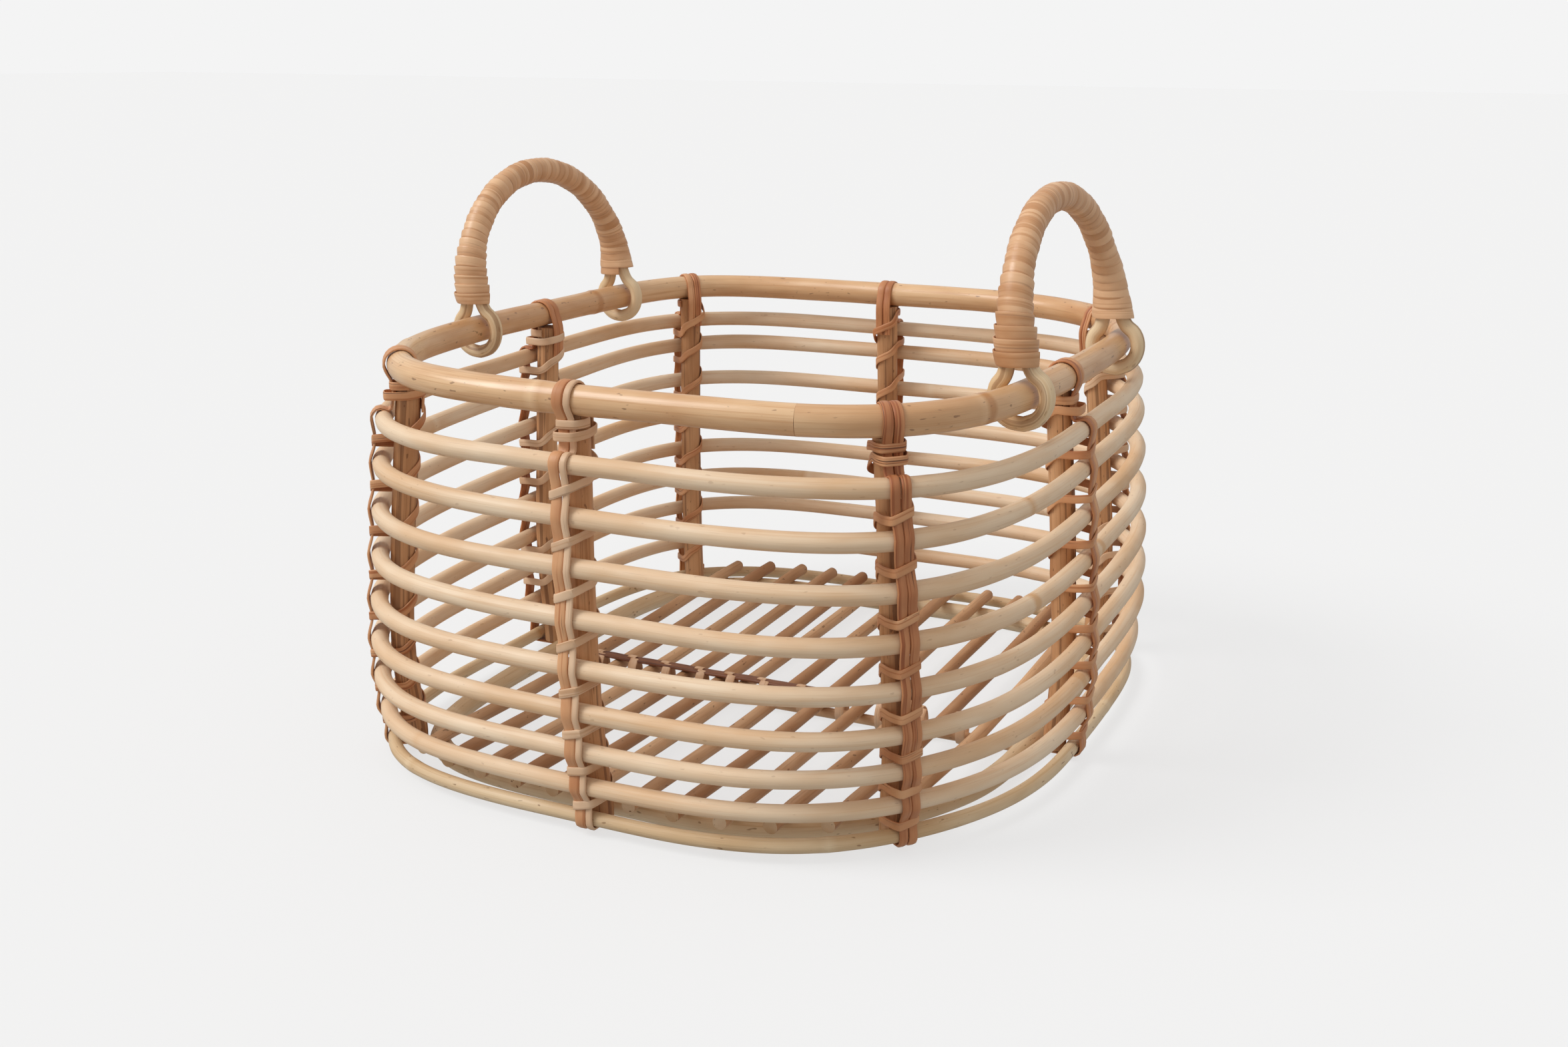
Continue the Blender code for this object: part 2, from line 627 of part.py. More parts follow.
cane("rim_pole", ring_points(RIM_HEIGHT, 0.0, 48), RIM_RADIUS, rim_skin, closed=True, z_up=True)
for number, (height, radius, rise) in enumerate(zip(HOOP_HEIGHTS, HOOP_RADII, HOOP_RISES), start=1):
    in_front = hoop_out(radius * MM, height * MM)
    behind = hoop_out(radius * MM, (height + rise) * MM)
    ring = ring_points(height * MM, in_front, 40, rise * MM, behind)
    cane("hoop_%d" % number, ring, radius * MM, hoop_core, closed=True, sides=6, z_up=True)
lowest = ring_points(BOTTOM_HOOP_HEIGHT, hoop_out(BOTTOM_HOOP_RADIUS, BOTTOM_HOOP_HEIGHT), 40)
cane("bottom_hoop", lowest, BOTTOM_HOOP_RADIUS, hoop_core, closed=True, sides=6, z_up=True)
for post in POSTS:
    make_post(post, post_cane)
    make_strips(post, peel)
    make_lashing(post, peel)
make_floor(post_cane, post_cane, russet_peel, peel)
make_handle("left", -1, loop_cane, grip_peel)
make_handle("right", 1, loop_cane, grip_peel)
bpy.context.view_layer.update()
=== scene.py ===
"""Looks of the cane basket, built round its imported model.

Every cane, peel and wrapping is swept along its own line in the row frame. The wall follows the same
rounded square as the CAD part, with the small irregularities of handwork added.
"""

import json
import math

import bpy
import numpy as np
from mathutils import Matrix, Vector


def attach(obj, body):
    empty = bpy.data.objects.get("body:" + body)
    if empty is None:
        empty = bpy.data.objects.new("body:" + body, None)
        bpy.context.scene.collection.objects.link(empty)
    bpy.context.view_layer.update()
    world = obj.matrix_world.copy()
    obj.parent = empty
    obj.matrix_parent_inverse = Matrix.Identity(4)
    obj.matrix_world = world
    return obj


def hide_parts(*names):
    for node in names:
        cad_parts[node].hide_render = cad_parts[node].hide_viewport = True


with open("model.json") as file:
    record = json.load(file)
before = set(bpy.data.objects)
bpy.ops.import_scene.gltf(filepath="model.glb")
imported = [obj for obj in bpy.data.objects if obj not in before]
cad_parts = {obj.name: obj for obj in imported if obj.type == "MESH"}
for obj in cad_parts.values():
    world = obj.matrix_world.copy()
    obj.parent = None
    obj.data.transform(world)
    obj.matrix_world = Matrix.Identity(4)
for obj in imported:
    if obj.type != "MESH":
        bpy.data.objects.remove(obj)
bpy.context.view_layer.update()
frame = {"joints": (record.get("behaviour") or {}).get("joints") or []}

MM = 0.001
X, Y, Z = np.eye(3)

# ---- plan and profile of the wall, as in the CAD part ------------------------------------------
RIM_HALF_WIDTH = 196.5 * MM
RIM_HALF_DEPTH = 226.5 * MM
QUADRANTS = [225, 315, 45, 135]
RIM_SQUARENESS = [3.5, 4.0, 3.0, 5.0]
BASE_SQUARENESS = [4.0, 2.5, 4.0, 4.0]
RIM_HEIGHT = 245 * MM
RIM_RADIUS = 8.3 * MM
BELLY_HEIGHTS = [13, 60, 130, 236]
BELLY_OFFSETS = [-2.5, 2, 1, -4]

# ---- hoops, from the top one down -----------------------------------------------------------------
HOOP_COUNT = 8
TOP_HOOP_HEIGHT = 212
HOOP_SPACING = 28.2
EVEN_GAPS = 2.6
CLOSING_UP = 2.1
TOP_HOOP_RADIUS = 5.4
LOW_HOOP_RADIUS = 5.1
TOP_HOOP_RISE = 6
HOOP_RISE = 15.5
LOW_HOOP_RISE = 7
BOTTOM_HOOP_HEIGHT = 10 * MM
BOTTOM_HOOP_RADIUS = 4.2 * MM
HOOP_TO_POST = 1.2 * MM
HOOP_SEAT = 0.4 * MM    # a hoop lies this much closer to the posts than the faceted CAD one

# ---- posts, strips and lashings -------------------------------------------------------------------
POSTS = {
    "front_left": (228, 226),
    "front_mid": (265, 268),
    "front_right": (307, 311),
    "right_mid": (348, 356),
    "back_right": (49, 49),
    "back_mid": (95, 94),
    "back_left": (132, 132),
    "left_mid": (174, 174),
}
POST_RADIUS = 7.5 * MM
POST_TOP = 235.2 * MM
POST_BOTTOM = 6.2 * MM
POST_LEVELS_LOW = 13 * MM
STRIP_WIDTH = 11.0 * MM
STRIP_THICKNESS = 1.5 * MM
STRIP_DIP = 2.6 * MM
STRIP_INNER_END = 216 * MM
STRIP_CONTACTS = {0: (75, 40, 0), 8: (15, -30, -60, -90)}
LASHING_WIDTH = 5.0 * MM
LASHING_THICKNESS = 1.0 * MM
COLLAR_HEIGHTS = (232.2 * MM, 226.2 * MM)
COLLAR_BOTTOM = 217.6 * MM
MOST_SLANT = 4.4 * MM
LEAST_SLANT = 0.5 * MM
SLANT_SHARE = 0.42
COLLAR_ROOM = 0.8 * MM
GAP = 0.3 * MM

# ---- floor ----------------------------------------------------------------------------------------
RING_RADIUS = 7.0 * MM
RING_FLAT = RING_RADIUS * math.cos(math.pi / 8)
RING_OUT = -(POST_RADIUS + RING_RADIUS + 1.0 * MM)
ROD_RADIUS = 4.3 * MM
LEFT_RODS = (-141, 26, 5)
LONE_ROD = -18
RIGHT_RODS = (12, 27.6, 6)
BEARER_RADIUS = 3.4 * MM
BEARER_HEIGHT = 5.2 * MM
BEARER_Y = -23 * MM
FLOOR_STRIP_WIDTH = 8.0 * MM
FLOOR_STRIP_THICKNESS = 2.5 * MM
FLOOR_STRIP_END = 50 * MM
ROD_AT_RING = 2 * RING_FLAT + GAP + ROD_RADIUS
ROD_AT_BEARER = BEARER_HEIGHT + BEARER_RADIUS + GAP + ROD_RADIUS

# ---- handles --------------------------------------------------------------------------------------
HANDLE_HALF_SPANS = {"left": 92 * MM, "right": 97 * MM}
HANDLE_LEANS = {"left": -6.5, "right": 8.0}
HANDLE_CROWNS = {"left": 98 * MM, "right": 100 * MM}
COLLAR_START = 20 * MM
FOOT_TOP = 42 * MM
ARCH_START = 23 * MM
EYE_SHARE = 0.98
LOOP_RADIUS = 14.6 * MM
BRANCH_OFFSET = 4.6 * MM
GRIP_CANE = 5.8 * MM
EYE_RADII = {"left": 4.1 * MM, "right": 4.4 * MM}
WRAP_PITCHES = {"left": 5.5 * MM, "right": 6.5 * MM}
WRAP_OVERLAP = 1.28     # width of the peel over the pitch of its turns
WRAP_PEEL = 0.9 * MM
WRAP_TILT = 1.15 * MM   # each turn lies over the edge of the one before

SPECULAR = 0.42
COAT_ROUGHNESS = 0.22

# ---- stage ----------------------------------------------------------------------------------------
BACK_GLOW = 0.905
FLOOR_GLOW = 0.684
FLOOR_ALBEDO = 0.2
SKY_BELOW = 0.38
SKY_ABOVE = 0.68
SUNS = [
    ("key", 1.8, 30, (-0.85, -0.60, 1.0)),
]
CAMERA_LENS = 39.5
CAMERA_ANGLES = (-25.12, 15.45, 0.41)
CAMERA_PLACE = (0.464, -0.990, 0.425)

DENSE = np.linspace(0, 2 * math.pi, 1440, endpoint=False)


def eased(heights, values, height):
    """Cubic interpolation through (height, value) pairs with gentle slopes."""
    heights = np.asarray(heights, float)
    values = np.asarray(values, float)
    slopes = np.gradient(values, heights)
    height = min(max(height, heights[0]), heights[-1])
    i = min(int(np.searchsorted(heights, height, side="right")) - 1, len(heights) - 2)
    span = heights[i + 1] - heights[i]
    t = (height - heights[i]) / span
    return ((2 * t**3 - 3 * t**2 + 1) * values[i] + (t**3 - 2 * t**2 + t) * span * slopes[i]
            + (-2 * t**3 + 3 * t**2) * values[i + 1] + (t**3 - t**2) * span * slopes[i + 1])


def hoop_sizes():
    """Heights, radii and rises at the back of the hoops, from the top one down."""
    heights = [TOP_HOOP_HEIGHT]
    for gap in range(HOOP_COUNT - 1):
        heights.append(heights[-1] - HOOP_SPACING + CLOSING_UP * max(0, gap - EVEN_GAPS))
    span = heights[0] - heights[-1]
    taper = TOP_HOOP_RADIUS - LOW_HOOP_RADIUS
    radii = [TOP_HOOP_RADIUS - taper * ((heights[0] - h) / span)**2 for h in heights]
    rises = [TOP_HOOP_RISE] + [HOOP_RISE] * (HOOP_COUNT - 2) + [LOW_HOOP_RISE]
    return heights, radii, rises


def spaced(first, spacing, number):
    return [first + spacing * k for k in range(number)]


HOOP_HEIGHTS, HOOP_RADII, HOOP_RISES = hoop_sizes()
ROD_POSITIONS = spaced(*LEFT_RODS) + [LONE_ROD] + spaced(*RIGHT_RODS)


def belly(height):
    """How far the wall line stands outside the rim's line, at a height; the rim has its own line."""
    if height > POST_TOP + 5 * MM:
        return 0.0
    return eased(BELLY_HEIGHTS, BELLY_OFFSETS, height / MM) * MM


def wall_slope(height):
    return (belly(height + 3 * MM) - belly(height - 3 * MM)) / (6 * MM)


def hoop_out(radius, height):
    return POST_RADIUS * math.hypot(1, 1.25 * wall_slope(height)) + HOOP_TO_POST + radius


plans = {}


def wall_plan(height):
    key = round(height, 5)
    if key not in plans:
        share = min(max(height / RIM_HEIGHT, 0.0), 1.0)
        turn = np.degrees(DENSE)
        weights = []
        for middle in QUADRANTS:
            near = np.clip(1 - np.abs((turn - middle + 180) % 360 - 180) / 90, 0, 1)
            weights.append(near * near * (3 - 2 * near))
        weights = np.array(weights) / np.sum(weights, axis=0)
        square = np.array(BASE_SQUARENESS) * (1 - share) + np.array(RIM_SQUARENESS) * share
        n = square @ weights
        a = RIM_HALF_WIDTH + belly(height)
        b = RIM_HALF_DEPTH + belly(height)
        cos, sin = np.cos(DENSE), np.sin(DENSE)
        r = (np.abs(cos / a)**n + np.abs(sin / b)**n)**(-1 / n)
        points = np.stack([r * cos, r * sin], axis=1)
        ahead = np.roll(points, -1, axis=0) - np.roll(points, 1, axis=0)
        ahead /= np.linalg.norm(ahead, axis=1)[:, None]
        plans[key] = points, np.stack([ahead[:, 1], -ahead[:, 0]], axis=1)
    return plans[key]


def wall_point(angle_deg, height, out):
    points, normals = wall_plan(height)
    where = (angle_deg % 360) / 360 * len(DENSE)
    i = int(where) % len(DENSE)
    t = where - int(where)
    j = (i + 1) % len(DENSE)
    p = points[i] * (1 - t) + points[j] * t
    n = normals[i] * (1 - t) + normals[j] * t
    n /= np.linalg.norm(n)
    return np.array([p[0] + out * n[0], p[1] + out * n[1], height]), np.array([n[0], n[1], 0.0])


def post_angle(name, height):
    top, bottom = POSTS[name]
    share = min(max(height / RIM_HEIGHT, 0.0), 1.0)
    return bottom + (top - bottom) * share


def edge(level, at, out, axis, positive):
    """Where the wall line, moved out along its normal, passes a given x (axis 1) or y (axis 0)."""
    points, normals = wall_plan(level)
    line = points + out * normals
    half = line[(line[:, axis] > 0) == positive]
    order = np.argsort(half[:, 1 - axis])
    return float(np.interp(at, half[order, 1 - axis], half[order, axis]))


# ---- small tools ---------------------------------------------------------------------------------
def unit(v):
    return v / np.maximum(np.linalg.norm(v, axis=-1, keepdims=True), 1e-12)


def wander(seed, along, period, size):
    """A slow random walk along a cane: a few sines with seeded phases."""
    rng = np.random.default_rng(seed)
    total = np.zeros_like(along)
    for k in (1.0, 2.3, 4.1):
        total += np.sin(2 * math.pi * along * k / period + rng.uniform(0, 6.28)) / k
    return total * size / 1.4


def smooth_line(knots, spacing):
    """Catmull-Rom line through knots, resampled to an even spacing; extra columns ride along."""
    knots = np.asarray(knots, float)
    padded = np.vstack([2 * knots[0] - knots[1], knots, 2 * knots[-1] - knots[-2]])
    t = np.linspace(0, 1, 16, endpoint=False)[:, None]
    runs = []
    for p0, p1, p2, p3 in zip(padded[:-3], padded[1:-2], padded[2:-1], padded[3:]):
        runs.append(0.5 * (2 * p1 + (p2 - p0) * t + (2 * p0 - 5 * p1 + 4 * p2 - p3) * t**2
                           + (3 * p1 - p0 - 3 * p2 + p3) * t**3))
    line = np.vstack(runs + [knots[-1:]])
    return resampled(line, spacing)


def resampled(line, spacing, dims=3):
    step = np.linalg.norm(np.diff(line[:, :dims], axis=0), axis=1)
    along = np.concatenate([[0], np.cumsum(step)])
    marks = np.linspace(0, along[-1], max(int(round(along[-1] / spacing)), 3) + 1)
    return np.stack([np.interp(marks, along, column) for column in line.T], axis=1)


def lengths(line):
    return np.concatenate([[0], np.cumsum(np.linalg.norm(np.diff(line, axis=0), axis=1))])


def frames(centres, hint):
    """Side and out directions along a line, with out kept near a hint, so that side x out = ahead."""
    ahead = unit(np.gradient(centres, axis=0))
    hint = np.broadcast_to(hint, centres.shape)
    out = unit(hint - ahead * np.sum(hint * ahead, axis=1, keepdims=True))
    return np.cross(out, ahead), out


def round_section(sides):
    turn = np.linspace(0, 2 * math.pi, sides, endpoint=False)
    return np.stack([np.cos(turn), np.sin(turn)], axis=1)


def flat_section(width, thickness, crown=0.0, count=16):
    """A peel's section: a flat oval with tight edges, and a slightly rounded outer face."""
    turn = np.linspace(0, 2 * math.pi, count, endpoint=False) + math.pi / count
    x = np.sign(np.cos(turn)) * np.abs(np.cos(turn))**0.45 * width / 2
    y = np.sign(np.sin(turn)) * np.abs(np.sin(turn))**0.6 * thickness / 2
    y = y + crown * (1 - (2 * x / width)**2)
    return np.stack([x, y], axis=1)


def sweep(name, centres, side, out, section, mat, tint=0.0, body="basket", seed=0,
          replaces=(), sharp=50, end_mat=None):
    """Pulls a closed section along a line into one mesh with capped ends.

    Each vertex keeps its place in the straightened cane, which the materials' grain follows.
    """
    centres = np.asarray(centres, float)
    count = len(centres)
    section = np.asarray(section, float)
    if section.ndim == 2:
        section = np.repeat(section[None], count, axis=0)
    sides = section.shape[1]
    verts = (centres[:, None] + section[..., :1] * side[:, None] + section[..., 1:] * out[:, None])
    ring = np.arange(count - 1)[:, None] * sides
    this, after = np.arange(sides), (np.arange(sides) + 1) % sides
    quads = np.stack([ring + this, ring + after, ring + sides + after, ring + sides + this], -1)
    faces = quads.reshape(-1, 4).tolist()
    faces.append(list(range(sides))[::-1])
    faces.append(list(range((count - 1) * sides, count * sides)))
    mesh = bpy.data.meshes.new(name)
    mesh.from_pydata(verts.reshape(-1, 3).tolist(), [], faces)
    mesh.shade_smooth()
    mesh.set_sharp_from_angle(angle=math.radians(sharp))
    shift = np.random.default_rng(seed + 1).uniform(0, 40)
    along = np.repeat(lengths(centres)[:, None] + shift, sides, axis=1)
    grain = np.concatenate([section, along[..., None]], axis=2)
    mesh.attributes.new("grain", "FLOAT_VECTOR", "POINT").data.foreach_set(
        "vector", grain.astype(np.float32).ravel())
    shade = np.broadcast_to(np.asarray(tint, float).reshape(-1, 1), (count, sides))
    mesh.attributes.new("tint", "FLOAT", "POINT").data.foreach_set(
        "value", shade.astype(np.float32).ravel())
    mesh.materials.append(mat)
    if end_mat:
        mesh.materials.append(end_mat)
        for face in list(mesh.polygons)[-2:]:
            face.material_index = 1
    obj = bpy.data.objects.new(name, mesh)
    bpy.context.scene.collection.objects.link(obj)
    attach(obj, body)
    if replaces:
        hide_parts(*replaces)
    return obj


def cane_section(along, radius, seed, sides=18, lobes=0.02):
    """Round sections that are never quite round, one for each point along the cane."""
    turn = np.linspace(0, 2 * math.pi, sides, endpoint=False)
    radius = np.broadcast_to(np.asarray(radius, float), along.shape)
    swell = 1 + wander(seed, along, 0.21, lobes)
    grown = np.ones((len(along), sides))
    for k, (waves, share) in enumerate(((2, 1.0), (3, 0.7), (5, 0.5))):
        phase = wander(seed + 7 * k + 3, along, 0.5, 1.5)
        grown += lobes * share * np.cos(waves * turn[None] + phase[:, None])
    r = (radius * swell)[:, None] * grown
    return np.stack([r * np.cos(turn), r * np.sin(turn)], axis=2)


# ---- materials -------------------------------------------------------------------------------------
class Look:
    """A Principled material put together from a few kinds of node."""

    def __init__(self, name):
        self.mat = bpy.data.materials.new(name)
        self.mat.use_nodes = True
        self.tree = self.mat.node_tree
        self.shader = self.tree.nodes["Principled BSDF"]
        self.grain = self.attribute("grain", "Vector")
        self.tint = self.attribute("tint", "Fac")

    def node(self, kind, output, links=(), **settings):
        made = self.tree.nodes.new(kind)
        for key, value in settings.items():
            setattr(made, key, value)
        for socket, value in links:
            if isinstance(value, bpy.types.NodeSocket):
                self.tree.links.new(value, made.inputs[socket])
            else:
                made.inputs[socket].default_value = value
        return made.outputs[output]

    def attribute(self, name, output):
        return self.node("ShaderNodeAttribute", output, attribute_name=name)

    def stretched(self, across, along):
        return self.node("ShaderNodeVectorMath", 0, [(0, self.grain), (1, (across, across, along))],
                         operation="MULTIPLY")

    def noise(self, across, along, detail=2.0, rough=0.5):
        return self.node("ShaderNodeTexNoise", "Fac",
                         [("Vector", self.stretched(across, along)), ("Scale", 1.0), ("Detail", detail),
                          ("Roughness", rough), ("Distortion", 0.0)])

    def levels(self, value, low, high, bottom=0.0, top=1.0):
        return self.node("ShaderNodeMapRange", "Result",
                         [("Value", value), ("From Min", low), ("From Max", high), ("To Min", bottom),
                          ("To Max", top)], interpolation_type="SMOOTHSTEP")

    def maths(self, operation, a, b):
        return self.node("ShaderNodeMath", 0, [(0, a), (1, b)], operation=operation)

    def mix(self, share, a, b):
        return self.node("ShaderNodeMix", 2, [(0, share), (6, a), (7, b)], data_type="RGBA",
                         blend_type="MIX")

    def finish(self, colour, rough, height, depth, coat=0.0):
        links = self.tree.links
        links.new(colour, self.shader.inputs["Base Color"])
        links.new(rough, self.shader.inputs["Roughness"])
        bump = self.node("ShaderNodeBump", "Normal", [("Height", height), ("Strength", 1.0),
                                                     ("Distance", depth)])
        links.new(bump, self.shader.inputs["Normal"])
        self.shader.inputs["Specular IOR Level"].default_value = SPECULAR
        self.shader.inputs["Coat Weight"].default_value = coat
        self.shader.inputs["Coat Roughness"].default_value = COAT_ROUGHNESS
        return self.mat


def cane_look(name, light, dark, spot, rough=(0.42, 0.6), fibre=0.5, specks=0.5, coat=0.0,
              depth=0.00012, grooves=0.0, mottle=0.6):
    """Cane with fibres along its length, slow changes of tone, and small dark specks."""
    look = Look(name)
    fine = look.noise(2600, 30, detail=3, rough=0.6)
    lines = look.noise(700, 9, detail=2, rough=0.55)
    patches = look.noise(45, 11, detail=3, rough=0.6)
    slow = look.noise(4, 3, detail=1)
    tone = look.maths("ADD", look.maths("MULTIPLY", look.levels(patches, 0.3, 0.72), mottle),
                      look.maths("MULTIPLY", look.levels(slow, 0.35, 0.65), 0.35))
    tone = look.maths("ADD", tone, look.tint)
    colour = look.mix(tone, light, dark)
    streak = look.maths("MULTIPLY", look.levels(lines, 0.5, 0.72), fibre)
    colour = look.mix(streak, colour, dark)
    hair = look.maths("MULTIPLY", look.levels(fine, 0.56, 0.75), fibre * 0.6)
    colour = look.mix(hair, colour, spot)
    fleck = look.levels(look.noise(420, 160, detail=1), 0.70, 0.76, 0.0, specks)
    colour = look.mix(fleck, colour, spot)
    blot = look.levels(look.noise(70, 28, detail=4, rough=0.7), 0.70, 0.80, 0.0, specks * 0.8)
    colour = look.mix(blot, colour, spot)
    height = look.maths("ADD", look.maths("MULTIPLY", fine, 0.5), look.maths("MULTIPLY", lines, 1.0))
    if grooves:
        wide = look.levels(look.noise(330, 5, detail=1), 0.36, 0.5)
        height = look.maths("ADD", height, look.maths("MULTIPLY", wide, grooves))
        colour = look.mix(look.levels(wide, 0.0, 0.6, 0.55, 0.0), colour, spot)
    shine = look.levels(patches, 0.3, 0.7, rough[0], rough[1])
    return look.finish(colour, shine, height, depth, coat)


def peel_look(name, light, dark, spot, lines=1.0, rough=(0.36, 0.55), cracks=0.5, depth=0.00016):
    """Flat peel: its grain runs along it, with fine dark lines, cracks and a soft shine."""
    look = Look(name)
    fine = look.noise(1900, 22, detail=3, rough=0.65)
    bands = look.noise(480, 6, detail=2)
    patches = look.noise(60, 26, detail=3, rough=0.6)
    tone = look.maths("ADD", look.maths("MULTIPLY", look.levels(patches, 0.28, 0.72), 0.6), look.tint)
    colour = look.mix(tone, light, dark)
    line = look.maths("MULTIPLY", look.levels(bands, 0.53, 0.68), lines)
    colour = look.mix(line, colour, dark)
    crack = look.maths("MULTIPLY", look.levels(look.noise(900, 13, detail=2), 0.66, 0.72), cracks)
    colour = look.mix(crack, colour, spot)
    blot = look.levels(look.noise(130, 70, detail=3, rough=0.7), 0.70, 0.80, 0.0, 0.5)
    colour = look.mix(blot, colour, spot)
    height = look.maths("SUBTRACT", look.maths("ADD", look.maths("MULTIPLY", fine, 0.6), bands),
                        look.maths("MULTIPLY", crack, 1.2))
    return look.finish(colour, look.levels(patches, 0.3, 0.7, rough[0], rough[1]), height, depth)


def rgb(r, g, b):
    """A colour given as it shows on a screen."""
    line = [((c / 255 + 0.055) / 1.055)**2.4 if c > 10 else c / 255 / 12.92 for c in (r, g, b)]
    return (*line, 1.0)


# ---- colours and materials of this basket ----------------------------------------------------------
rim_skin = cane_look("rim_skin", rgb(238, 200, 156), rgb(198, 142, 92), rgb(104, 58, 32),
                     rough=(0.28, 0.42), fibre=0.45, specks=0.55, coat=0.25, depth=0.00008)
hoop_core = cane_look("hoop_core", rgb(243, 221, 192), rgb(220, 176, 130), rgb(152, 102, 62),
                      rough=(0.44, 0.6), fibre=0.4, specks=0.25)
low_core = cane_look("low_core", rgb(232, 208, 172), rgb(202, 164, 118), rgb(128, 84, 50),
                     rough=(0.42, 0.58), fibre=0.5, specks=0.6)
post_cane = cane_look("post_cane", rgb(222, 174, 128), rgb(172, 116, 72), rgb(98, 58, 34),
                      rough=(0.48, 0.66), fibre=0.6, specks=0.6, grooves=0.4)
rod_cane = cane_look("rod_cane", rgb(224, 182, 140), rgb(178, 130, 90), rgb(104, 68, 42),
                     rough=(0.5, 0.68), fibre=0.55, specks=0.6)
eye_cane = cane_look("eye_cane", rgb(242, 220, 184), rgb(214, 174, 124), rgb(148, 98, 56),
                     rough=(0.4, 0.55), fibre=0.45, specks=0.4, grooves=0.8)
peel_tan = peel_look("peel_tan", rgb(224, 170, 124), rgb(182, 114, 70), rgb(88, 44, 24), cracks=0.8)
peel_dark = peel_look("peel_dark", rgb(206, 142, 96), rgb(160, 92, 54), rgb(76, 38, 22), cracks=0.8)
peel_pale = peel_look("peel_pale", rgb(232, 198, 164), rgb(198, 152, 112), rgb(122, 78, 50),
                      lines=0.8, cracks=0.35)
grip_peel = peel_look("grip_peel", rgb(234, 190, 148), rgb(192, 136, 90), rgb(112, 62, 34),
                      lines=0.7, rough=(0.3, 0.46), cracks=0.3, depth=0.0001)
russet_peel = peel_look("russet_peel", rgb(140, 90, 62), rgb(100, 58, 38), rgb(58, 30, 20))
cut_end = cane_look("cut_end", rgb(236, 214, 184), rgb(206, 174, 136), rgb(120, 84, 56),
                    rough=(0.7, 0.85), fibre=0.2, specks=0.9)


# ---- rings: rim pole, hoops and base ring -----------------------------------------------------------
def to_the_back(y):
    """0 at the front of the wall and 1 at its back."""
    return np.clip((y + RIM_HALF_DEPTH) / (2 * RIM_HALF_DEPTH), 0, 1)


def ring_line(height, out, start, rise=0.0, out_behind=0.0, spacing=5 * MM):
    """One turn round the wall, starting at a polar angle, with the outward normals beside it."""
    points, normals = wall_plan(height)
    line = points + out * normals
    share = to_the_back(points[:, 1])[:, None]
    if rise:
        behind, behind_normals = wall_plan(height + rise)
        line = line * (1 - share) + (behind + out_behind * behind_normals) * share
    first = int(round((start % 360) / 360 * len(DENSE)))
    line = np.roll(line, -first, axis=0)
    outward = np.roll(normals, -first, axis=0)
    level = np.roll(height + rise * share, -first, axis=0)
    line = np.vstack([line, line[:1]])
    outward = np.vstack([outward, outward[:1]])
    level = np.vstack([level, level[:1]])
    return resampled(np.hstack([line, level, outward, level * 0]), spacing)


def bumps(along, places, width):
    """1 at each place along a cane, falling off within a width."""
    total = np.zeros_like(along)
    for place in places:
        total += np.exp(-((along - place) / width)**2)
    return total


def ring(name, height, out, radius, start, mat, seed, slot, sway=(0.4, 0.5), nodes=(), sides=18,
         swell=0.045, low=-1.0, rise=0.0, out_behind=0.0):
    """A cane bent once round the basket, its two ends meeting where it starts."""
    line = ring_line(height, out, start, rise, out_behind)
    along = lengths(line[:, :3])
    total = along[-1]
    fade = np.minimum(1, np.minimum(along, total - along) / (40 * MM))
    marks = np.array(nodes) * total
    sized = radius * (1 + swell * bumps(along, marks, 3.2 * MM))
    line[:, 2] += wander(seed, along, total / 3, sway[1] * MM) * fade
    line[:, :2] += line[:, 3:5] * (wander(seed + 50, along, total / 4, sway[0] * MM) * fade)[:, None]
    section = cane_section(along, sized, seed, sides)
    lowest = section[..., 0].min(axis=1)
    if low >= 0:
        line[:, 2] = np.maximum(line[:, 2], low - lowest)
    side, outward = frames(line[:, :3], line[:, 3:6])
    tint = 0.9 * bumps(along, marks + 1.2 * MM, 1.1 * MM) - 0.3 * bumps(along, marks - 2 * MM, 2 * MM)
    tint = tint + wander(seed + 90, along, 0.8, 0.12)
    return sweep(name, line[:, :3], side, outward, section, mat, tint, seed=seed,
                 replaces=[name])


def make_rings():
    ring("rim_pole", RIM_HEIGHT, 0.0, RIM_RADIUS, 296.5, rim_skin, 11, "rim_skin", (0.3, 0.4),
         (0.07, 0.26, 0.43, 0.62, 0.78, 0.9), sides=28)
    starts = list(POSTS)
    for k, sizes in enumerate(zip(HOOP_HEIGHTS, HOOP_RADII, HOOP_RISES)):
        height, radius, rise = (size * MM for size in sizes)
        start = post_angle(starts[(3 * k + 1) % len(starts)], height)
        ring("hoop_%d" % (k + 1), height, hoop_out(radius, height) - HOOP_SEAT, radius, start, hoop_core,
             20 + k, "hoop_core", nodes=((0.13 + 0.31 * k) % 1, (0.62 + 0.17 * k) % 1), swell=0.02,
             rise=rise, out_behind=hoop_out(radius, height + rise) - HOOP_SEAT)
    height, radius = BOTTOM_HOOP_HEIGHT, BOTTOM_HOOP_RADIUS
    ring("bottom_hoop", height, hoop_out(radius, height) - HOOP_SEAT, radius, 132, low_core, 40,
         "hoop_core", nodes=(0.12, 0.29, 0.47, 0.66, 0.84), swell=0.05)
    ring("base_ring", RING_FLAT, RING_OUT, RING_FLAT, 60, low_core, 41, "post_cane", (0.3, 0.0),
         (0.2, 0.45, 0.72), low=0.0)


# ---- posts, strips and lashings ---------------------------------------------------------------------
def across_wall(name, height):
    normal = wall_point(post_angle(name, height), height, 0.0)[1]
    return np.array([-normal[1], normal[0], 0.0]), normal


def at_post(name, level, across, out, height=None):
    """A point beside a post: across the wall and out from its line."""
    point = wall_point(post_angle(name, level), level, out)[0]
    point += across_wall(name, level)[0] * across
    if height is not None:
        point[2] = height
    return point


